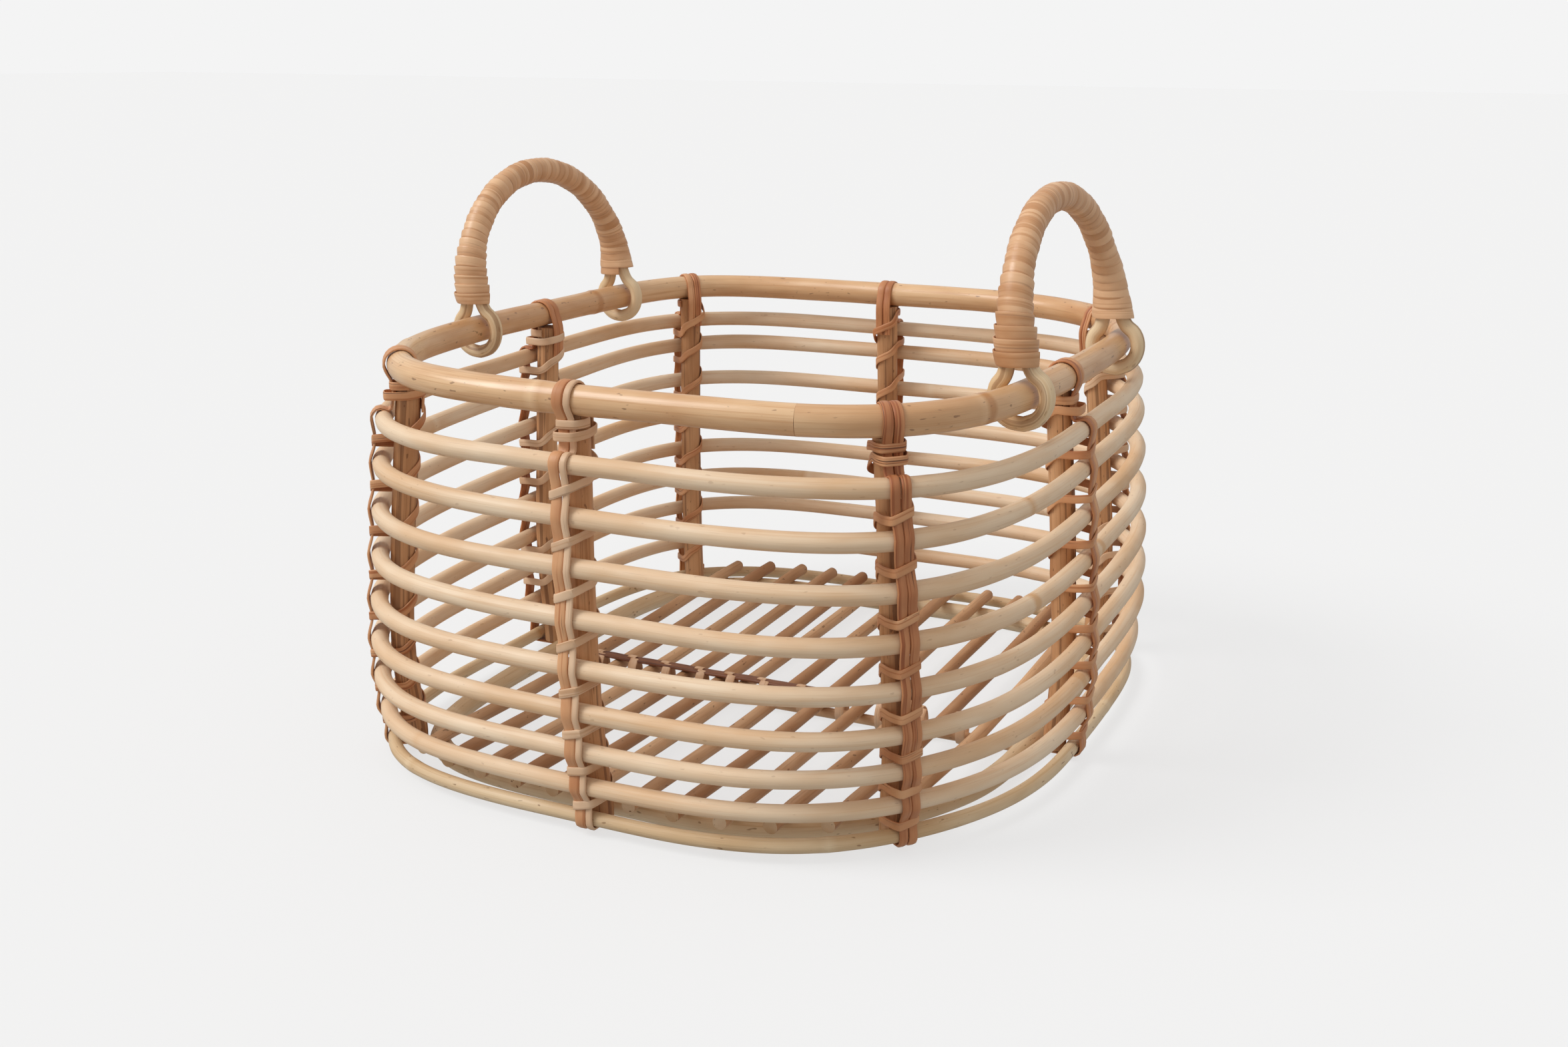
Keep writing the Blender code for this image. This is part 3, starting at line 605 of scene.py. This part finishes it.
def make_post(name, seed):
    heights = np.linspace(POST_BOTTOM, POST_TOP + 1.2 * MM, 46)
    line = np.array([at_post(name, max(h, POST_LEVELS_LOW), 0.0, 0.0, h) for h in heights])
    along = lengths(line)
    line[:, :2] += np.stack([wander(seed, along, 0.3, 0.25 * MM),
                             wander(seed + 1, along, 0.3, 0.25 * MM)], axis=1)
    side, out = frames(line, across_wall(name, 0.12)[1])
    radius = POST_RADIUS * (1 + 0.03 * bumps(along, [0.06 + 0.02 * (seed % 4)], 4 * MM))
    tint = 0.5 * bumps(along, [0.061 + 0.02 * (seed % 4)], 1.5 * MM)
    sweep("post_" + name, line, side, out, cane_section(along, radius, seed, 22, 0.025), post_cane, tint,
          seed=seed, replaces=["post_" + name])


def hoops_at(name):
    """Heights and radii of the hoops where they pass a post, the bottom hoop last."""
    share = float(to_the_back(wall_point(post_angle(name, RIM_HEIGHT / 2), RIM_HEIGHT / 2, 0.0)[0][1]))
    sizes = zip(HOOP_HEIGHTS, HOOP_RADII, HOOP_RISES)
    levels = [((height + rise * share) * MM, radius * MM) for height, radius, rise in sizes]
    return levels + [(BOTTOM_HOOP_HEIGHT, BOTTOM_HOOP_RADIUS)]


def collar_bottom(name):
    """Where the strips step out over the top hoop, which stands higher at the back."""
    return COLLAR_BOTTOM + hoops_at(name)[0][0] - HOOP_HEIGHTS[0] * MM


def collar_turns(name):
    """Heights of the collar's turns: one fewer where the top hoop leaves no room for it."""
    lowest = collar_bottom(name) + LASHING_WIDTH / 2 + MM
    return [height for height in COLLAR_HEIGHTS if height > lowest]


def strip_profile(name):
    """Line of a strip: (height of the wall line it is measured from, distance out, height)."""
    skin = STRIP_THICKNESS / 2 + GAP
    inside = -(POST_RADIUS + skin)
    over = RIM_RADIUS + STRIP_THICKNESS / 2 + 0.3 * MM
    profile = [(STRIP_INNER_END, inside, STRIP_INNER_END)]
    profile.append((0.226, inside, 0.226))
    profile.append((POST_TOP, inside + 0.2 * MM, POST_TOP + 1.0 * MM))
    for degrees in (175, 150, 120, 90, 60, 30, 0, -24):
        turn = math.radians(degrees)
        profile.append((RIM_HEIGHT, over * math.cos(turn), RIM_HEIGHT + over * math.sin(turn)))
    profile.append((COLLAR_HEIGHTS[0], POST_RADIUS + 1.4 * MM, COLLAR_HEIGHTS[0]))
    step = collar_bottom(name)
    profile.append((step, POST_RADIUS + 2.0 * MM, step))
    levels = hoops_at(name)
    for k, (height, radius) in enumerate(levels):
        middle = hoop_out(radius, height)
        reach = radius + skin
        for degrees in STRIP_CONTACTS.get(k, (20, -20)):
            turn = math.radians(degrees)
            profile.append((height, middle + reach * math.cos(turn), height + reach * math.sin(turn)))
        if k < len(levels) - 1:
            below, below_radius = levels[k + 1]
            out = (middle + radius + hoop_out(below_radius, below) + below_radius) / 2
            profile.append(((height + below) / 2, out + skin - STRIP_DIP, (height + below) / 2))
    profile.append((BOTTOM_HOOP_HEIGHT, -2 * MM, BOTTOM_HOOP_HEIGHT - reach))
    return profile


def strip_face(name, height):
    outer = sorted((h, out + belly(level)) for level, out, h in strip_profile(name)
                   if out > 5 * MM and h > BOTTOM_HOOP_HEIGHT)
    heights, outs = zip(*outer)
    return float(np.interp(height, heights, outs)) + STRIP_THICKNESS / 2


def strip_band(name, label, shift, width, mat, seed, replaces=()):
    """One of the two peels of a strip pair, from its tail inside the rim to the floor."""
    knots = []
    for level, out, height in strip_profile(name):
        sideways = across_wall(name, level)[0]
        knots.append(np.concatenate([at_post(name, level, shift, out, height), sideways]))
    line = smooth_line(knots, 2.4 * MM)
    along = lengths(line[:, :3])
    ahead = unit(np.gradient(line[:, :3], axis=0))
    side = unit(line[:, 3:6] - ahead * np.sum(line[:, 3:6] * ahead, axis=1, keepdims=True))
    out = np.cross(ahead, side)
    centres = line[:, :3] + side * wander(seed, along, 0.12, 0.28 * MM)[:, None]
    section = np.repeat(flat_section(1.0, 1.0, 0.0)[None], len(along), axis=0)
    wide = width * (1 + wander(seed + 3, along, 0.1, 0.035))
    section[..., 0] *= wide[:, None]
    section[..., 1] *= STRIP_THICKNESS
    section[..., 1] += 0.00035 * (1 - (2 * section[..., 0] / wide[:, None])**2)
    tint = wander(seed + 9, along, 0.3, 0.22)
    sweep("strip_%s_%s" % (name, label), centres, side, out, section, mat, tint, seed=seed,
          replaces=replaces)


def make_strips(name, number):
    looks = STRIP_LOOKS.get(name, (peel_tan, peel_tan))
    wide = 6.6 * MM if name == "front_mid" else STRIP_WIDTH / 2 - 0.15 * MM
    narrow = STRIP_WIDTH - 0.3 * MM - wide
    left = -STRIP_WIDTH / 2 + wide / 2
    right = STRIP_WIDTH / 2 - narrow / 2
    strip_band(name, "a", left, wide, looks[0], 100 + 2 * number, ["strips_" + name])
    strip_band(name, "b", right, narrow, looks[1], 101 + 2 * number, ["strips_" + name])


def lashing_crossings(name):
    """Height of each turn in front of the strips, with the free height it has there."""
    turns = [(height, LASHING_WIDTH + COLLAR_ROOM) for height in collar_turns(name)]
    levels = hoops_at(name)
    for (above, above_radius), (below, below_radius) in zip(levels[:-1], levels[1:]):
        top, bottom = above - above_radius, below + below_radius
        turns.append(((top + bottom) / 2, top - bottom))
    return turns


def lashing_turn(name, middle, slant):
    """The stretch of a turn that shows outside the post: from its right side to its left."""
    face = strip_face(name, middle) - belly(middle) + LASHING_THICKNESS / 2 + 0.25 * MM
    side = POST_RADIUS + LASHING_THICKNESS / 2 + 0.4 * MM
    corner = STRIP_WIDTH / 2 + 0.6 * MM
    stops = [(side, 0.0, 1.0, (1, 0)), (side * 0.96, face * 0.5, 0.8, (1, 0.1)),
             (corner, face - 0.9 * MM, 0.55, (0.85, 0.5)), (corner - 2 * MM, face, 0.4, (0.2, 1)),
             (0.0, face + 0.3 * MM, 0.0, (0, 1)), (2 * MM - corner, face, -0.4, (-0.2, 1)),
             (-corner, face - 0.9 * MM, -0.55, (-0.85, 0.5)), (-side * 0.96, face * 0.5, -0.8, (-1, 0.1)),
             (-side, 0.0, -1.0, (-1, 0))]
    return [(across, out, middle + slant * share, hint) for across, out, share, hint in stops]


def back_stretch(start, end, covered):
    """The stretch behind the post, down to the next turn."""
    back = POST_RADIUS + LASHING_THICKNESS / 2 + (2.2 if covered else 0.3) * MM
    wide = (8.0 if covered else 6.0) * MM
    return [(-wide, -back * 0.74, start + (end - start) * 0.3, (-0.7, -0.7)),
            (0.0, -back, (start + end) / 2, (0, -1)),
            (wide, -back * 0.74, start + (end - start) * 0.7, (0.7, -0.7))]


def make_lashing(name, number):
    rng = np.random.default_rng(300 + number)
    collar = len(collar_turns(name))
    turns = lashing_crossings(name)
    middles = [middle for middle, _ in turns]
    free = [SLANT_SHARE * (room - LASHING_WIDTH) * rng.uniform(0.8, 1.1) for _, room in turns]
    slants = [min(max(slant, LEAST_SLANT), MOST_SLANT) for slant in free]
    stops = []
    for k, (middle, slant) in enumerate(zip(middles, slants)):
        stops += lashing_turn(name, middle, slant)
        if k < len(middles) - 1:
            stops += back_stretch(middle - slant, middles[k + 1] + slants[k + 1], k < collar)
    knots = []
    for across, out, height, (hint_across, hint_out) in stops:
        sideways, outward = across_wall(name, height)
        knots.append(np.concatenate([at_post(name, height, across, out),
                                     sideways * hint_across + outward * hint_out]))
    line = smooth_line(knots, 1.7 * MM)
    side, out = frames(line[:, :3], unit(line[:, 3:6]))
    along = lengths(line[:, :3])
    tint = wander(500 + number, along, 0.2, 0.3)
    look = peel_pale if number % 3 == 1 else peel_tan
    sweep("lashing_" + name, line[:, :3], side, out,
          flat_section(LASHING_WIDTH, LASHING_THICKNESS, 0.12 * MM), look, tint, seed=500 + number,
          replaces=["lashing_" + name])


# ---- floor ------------------------------------------------------------------------------------------
def rod_end(x, front):
    end = edge(ROD_AT_RING, x, 4.0 * MM, 1, not front)
    clear = POST_RADIUS + ROD_RADIUS + 4.8 * MM
    for name in POSTS:
        post = wall_point(post_angle(name, ROD_AT_RING), ROD_AT_RING, 0.0)[0]
        beside = abs(x - post[0])
        if (post[1] < 0) != front or beside >= clear:
            continue
        reach = abs(post[1]) - math.sqrt(clear**2 - beside**2)
        end = math.copysign(min(abs(end), reach), end)
    return end


def make_rod(number, x):
    front, back = rod_end(x, True), rod_end(x, False)
    ring_front = edge(ROD_AT_RING, x, RING_OUT - RING_RADIUS, 1, False)
    ring_back = edge(ROD_AT_RING, x, RING_OUT - RING_RADIUS, 1, True)
    y = np.linspace(front, back, 80)
    reach = np.where(y < BEARER_Y, ring_front, ring_back)
    share = np.minimum(np.abs((y - BEARER_Y) / (reach - BEARER_Y)), 1)
    z = ROD_AT_BEARER + (ROD_AT_RING - ROD_AT_BEARER) * share**2
    seed = 600 + number
    line = np.stack([np.full_like(y, x) + wander(seed, y, 0.5, 0.7 * MM), y, z], axis=1)
    side, out = frames(line, Z)
    along = lengths(line)
    section = cane_section(along, ROD_RADIUS * 0.99, seed, 16)
    tint = 0.1 + 0.25 * (number % 3) - 0.15 + wander(seed, along, 0.4, 0.15)
    name = "floor_rod_%d" % number
    sweep(name, line, side, out, section, rod_cane, tint, seed=seed, replaces=[name],
          end_mat=cut_end)


def make_floor():
    for number, x in enumerate(ROD_POSITIONS, start=1):
        make_rod(number, x * MM)
    inner = RING_OUT - RING_RADIUS - 0.8 * MM
    low_x = edge(RING_FLAT, BEARER_Y, inner, 0, False)
    high_x = edge(RING_FLAT, BEARER_Y, inner, 0, True)
    x = np.linspace(low_x, high_x, 90)
    line = np.stack([x, np.full_like(x, BEARER_Y) + wander(701, x, 0.4, 0.4 * MM),
                     np.full_like(x, BEARER_HEIGHT)], axis=1)
    side, out = frames(line, Z)
    sweep("floor_bearer", line, side, out, cane_section(x - x[0], BEARER_RADIUS, 701, 16), rod_cane, 0.1,
          seed=701, replaces=["floor_bearer"], end_mat=cut_end)
    top = ROD_AT_BEARER + ROD_RADIUS + GAP
    x = np.linspace((ROD_POSITIONS[0] - 9) * MM, FLOOR_STRIP_END, 90)
    line = np.stack([x, np.full_like(x, BEARER_Y) + wander(702, x, 0.3, 0.5 * MM),
                     top + FLOOR_STRIP_THICKNESS / 2 + wander(703, x, 0.06, 0.25 * MM)], axis=1)
    side, out = frames(line, Z)
    sweep("floor_strip", line, side, out, flat_section(FLOOR_STRIP_WIDTH, FLOOR_STRIP_THICKNESS, 0.3 * MM),
          russet_peel, 0.0, seed=702, replaces=["floor_strip"])
    middles = [(a + b) / 2 * MM for a, b in zip(ROD_POSITIONS[:-1], ROD_POSITIONS[1:])]
    above = top + FLOOR_STRIP_THICKNESS + 0.7 * MM
    below = BEARER_HEIGHT - BEARER_RADIUS - 0.8 * MM
    for number, middle in enumerate(middles):
        turn = np.linspace(-0.30, 2 * math.pi - 0.34, 56)
        height = (above + below) / 2 + (above - below) / 2 * np.cos(turn)
        line = np.stack([middle + 1.6 * MM * (turn / math.pi - 1), BEARER_Y + 6.6 * MM * np.sin(turn),
                         height], axis=1)
        hint = np.stack([0 * turn, np.sin(turn), np.cos(turn)], axis=1)
        side, out = frames(line, hint)
        sweep("floor_tie_%d" % (number + 1), line, side, out, flat_section(6.2 * MM, 1.0 * MM, 0.1 * MM),
              peel_pale, 0.25, seed=710 + number, replaces=["floor_lashing"])


# ---- handles ----------------------------------------------------------------------------------------
def handle_place(side):
    """Handle's own frame: y along the hinge line, z up the handle, leaned as it stands at rest."""
    joint = next(j for j in frame["joints"] if j["name"] == side + "_handle_swing")
    axis = joint["axis"]
    sign = -1 if side == "left" else 1
    turn = Matrix.Rotation(math.atan2(-axis[0], axis[1]), 4, "Z")
    lean = Matrix.Rotation(-sign * math.radians(HANDLE_LEANS[side]), 4, "Y")
    return np.array(Matrix.Translation(joint["pos_m"]) @ turn @ lean)


def placed(place, vectors, is_point=True):
    moved = vectors @ place[:3, :3].T
    return moved + place[:3, 3] if is_point else moved


def grip_knots(half_span, crown):
    """Middle line of the grip: up from one foot, over an elliptical crown and down again."""
    foot = [(0, half_span * share, z) for share, z in
            ((0.985, COLLAR_START), (0.985, 25 * MM), (0.98, 34 * MM))]
    knots = [(0, -y, z) for _, y, z in foot]
    for turn in np.linspace(0, math.pi, 25):
        z = ARCH_START + (crown - ARCH_START) * math.sin(turn)
        if z > FOOT_TOP:
            knots.append((0, -half_span * math.cos(turn), z))
    return knots + foot[::-1]


def eye_knots(y, sign):
    knots = [(0.3 * MM - BRANCH_OFFSET, 38 * MM), (-BRANCH_OFFSET, 28 * MM),
             (-BRANCH_OFFSET - MM, 19.5 * MM)]
    for degrees in range(-34, -180, -29):
        turn = math.radians(degrees)
        knots.append((LOOP_RADIUS * math.sin(turn), LOOP_RADIUS * math.cos(turn)))
    knots.append((0.0, -LOOP_RADIUS))
    mirror = [(-out, z) for out, z in knots[:-1]][::-1]
    return np.array([(sign * out, y, z) for out, z in knots + mirror])


def make_handle(side):
    sign = -1 if side == "left" else 1
    body = side + "_handle"
    place = handle_place(side)
    half_span = HANDLE_HALF_SPANS[side]
    cane_radius = EYE_RADII[side]
    for label, y in (("front", -half_span * EYE_SHARE), ("back", half_span * EYE_SHARE)):
        line = smooth_line(eye_knots(y, sign), 2 * MM)
        along = lengths(line)
        line[:, 1] += np.linspace(-0.8, 0.8, len(line)) * MM
        across, out = frames(line, Y)
        seed = 800 + 10 * (side == "left") + (label == "back")
        sweep("handle_eye_%s_%s" % (side, label), placed(place, line), placed(place, across, False),
              placed(place, out, False), cane_section(along, cane_radius, seed, 18, 0.03), eye_cane,
              0.0, body, seed, ["handle_core_" + side])
    core = smooth_line(grip_knots(half_span, HANDLE_CROWNS[side]), 5 * MM)
    core = core[(core[:, 2] > 40 * MM)]
    across, out = frames(core, X)
    sweep("handle_core_" + side, placed(place, core), placed(place, across, False),
          placed(place, out, False), round_section(14) * GRIP_CANE, eye_cane, 0.2, body, 820,
          ["handle_core_" + side])
    make_wrap(side, body, place, half_span)


def make_wrap(side, body, place, half_span):
    """Peel wound round the grip, each turn lying over the edge of the one before."""
    pitch = WRAP_PITCHES[side]
    line = smooth_line(grip_knots(half_span, HANDLE_CROWNS[side]), 0.5 * MM)
    along = lengths(line)
    total = along[-1]
    turns = total / pitch
    count = int(turns * 26)
    s = np.linspace(0, total, count)
    middle = np.stack([np.interp(s, along, column) for column in line.T], axis=1)
    ahead = unit(np.gradient(middle, axis=0))
    normal = unit(np.cross(X * np.ones_like(ahead), ahead))
    foot = np.minimum(s, total - s)
    levels = np.array([0, 8, 16, 28, 45, 80, 200]) * MM
    wide = np.interp(foot, levels, np.array([12.4, 11.5, 10.6, 9.2, 8.0, 7.5, 7.4]) * MM)
    deep = np.interp(foot, levels, np.array([8.8, 8.6, 8.4, 8.1, 7.7, 7.5, 7.4]) * MM)
    slip = wander(830 + (side == "left"), s, 0.05, 0.5)
    turn = 2 * math.pi * s / pitch + slip * 0.35
    cos, sin = np.cos(turn)[:, None], np.sin(turn)[:, None]
    radial = X * cos / wide[:, None] + normal * sin / deep[:, None]
    radial = unit(radial)
    loose = 1 + 0.03 * wander(840 + (side == "left"), s, 0.03, 1.0)
    centres = middle + (X * cos * wide[:, None] + normal * sin * deep[:, None]) * loose[:, None]
    across, out = frames(centres, radial)
    width = pitch * WRAP_OVERLAP
    flat = flat_section(width, WRAP_PEEL, 0.12 * MM, 14)
    flat[:, 1] -= flat[:, 0] / width * WRAP_TILT
    tint = wander(850 + (side == "left"), s, 0.5, 0.25) + 0.22 * np.sin(turn / 2.3)
    sweep("handle_wrap_" + side, placed(place, centres), placed(place, across, False),
          placed(place, out, False), flat, grip_peel, tint, body, 860 + (side == "left"),
          ["handle_wrap_" + side])


# ---- floor, light and camera --------------------------------------------------------------------------
def stage_paint(name, glow, albedo):
    """A pale stage surface: some of its brightness is its own, the rest is light that falls on it."""
    mat = bpy.data.materials.new(name)
    mat.use_nodes = True
    shader = mat.node_tree.nodes["Principled BSDF"]
    shader.inputs["Base Color"].default_value = (albedo, albedo, albedo, 1)
    shader.inputs["Roughness"].default_value = 1.0
    shader.inputs["Specular IOR Level"].default_value = 0.0
    shader.inputs["Emission Color"].default_value = (1, 1, 1, 1)
    shader.inputs["Emission Strength"].default_value = glow
    return mat


def stage_piece(name, verts, faces, mat):
    """A stage surface that the camera sees but that throws no light on the basket."""
    mesh = bpy.data.meshes.new(name)
    mesh.from_pydata(verts, [], faces)
    mesh.materials.append(mat)
    obj = bpy.data.objects.new(name, mesh)
    bpy.context.scene.collection.objects.link(obj)
    obj.visible_diffuse = False
    obj.visible_glossy = False
    obj.visible_shadow = False


def make_stage():
    half, high = 20.0, 12.0
    corners = [(-half, -half), (half, -half), (half, half), (-half, half)]
    floor = [(x, y, 0) for x, y in corners]
    stage_piece("floor", floor, [(0, 1, 2, 3)], stage_paint("floor_paint", FLOOR_GLOW, FLOOR_ALBEDO))
    walls = [(x, y, z) for z in (-0.01, high) for x, y in corners]
    faces = [(k, (k + 1) % 4, (k + 1) % 4 + 4, k + 4) for k in range(4)] + [(4, 5, 6, 7)]
    stage_piece("backdrop", walls, faces, stage_paint("backdrop_paint", BACK_GLOW, 0.0))


def make_light():
    """An even studio sky, brighter above than below, and a broad lamp from the left."""
    world = bpy.data.worlds.new("studio")
    bpy.context.scene.world = world
    world.use_nodes = True
    nodes, links = world.node_tree.nodes, world.node_tree.links
    where = nodes.new("ShaderNodeTexCoord")
    split = nodes.new("ShaderNodeSeparateXYZ")
    level = nodes.new("ShaderNodeMapRange")
    level.inputs["From Min"].default_value = -0.4
    level.inputs["From Max"].default_value = 0.8
    level.inputs["To Min"].default_value = SKY_BELOW
    level.inputs["To Max"].default_value = SKY_ABOVE
    links.new(where.outputs["Generated"], split.inputs[0])
    links.new(split.outputs["Z"], level.inputs["Value"])
    links.new(level.outputs[0], nodes["Background"].inputs["Strength"])
    nodes["Background"].inputs["Color"].default_value = (1.0, 0.99, 0.975, 1)
    for name, energy, angle, direction in SUNS:
        data = bpy.data.lights.new(name, "SUN")
        data.energy = energy
        data.angle = math.radians(angle)
        lamp = bpy.data.objects.new(name, data)
        lamp.rotation_euler = Vector(direction).to_track_quat("Z", "Y").to_euler()
        bpy.context.scene.collection.objects.link(lamp)


def make_camera():
    data = bpy.data.cameras.new("camera")
    data.sensor_width = 36.0
    data.lens = CAMERA_LENS
    yaw, pitch, roll = (math.radians(a) for a in CAMERA_ANGLES)
    ahead = np.array([math.sin(yaw) * math.cos(pitch), math.cos(yaw) * math.cos(pitch),
                      -math.sin(pitch)])
    right = np.array([math.cos(yaw), -math.sin(yaw), 0.0])
    up = np.cross(right, ahead)
    side = right * math.cos(roll) + up * math.sin(roll)
    top = up * math.cos(roll) - right * math.sin(roll)
    matrix = np.eye(4)
    matrix[:3, 0], matrix[:3, 1], matrix[:3, 2], matrix[:3, 3] = side, top, -ahead, CAMERA_PLACE
    camera = bpy.data.objects.new("camera", data)
    camera.matrix_world = Matrix(matrix.tolist())
    bpy.context.scene.collection.objects.link(camera)
    bpy.context.scene.camera = camera
    bpy.context.scene.view_settings.view_transform = "Standard"


# ---- build ------------------------------------------------------------------------------------------
STRIP_LOOKS = {
    "front_left": (peel_tan, peel_tan),
    "front_mid": (peel_tan, peel_pale),
    "front_right": (peel_dark, peel_dark),
    "right_mid": (peel_dark, peel_tan),
    "back_right": (peel_tan, peel_dark),
    "back_mid": (peel_dark, peel_dark),
    "back_left": (peel_dark, peel_tan),
    "left_mid": (peel_dark, peel_dark),
}
make_rings()
for number, name in enumerate(POSTS):
    make_post(name, 60 + number)
    make_strips(name, number)
    make_lashing(name, number)
make_floor()
make_handle("left")
make_handle("right")
make_stage()
make_light()
make_camera()
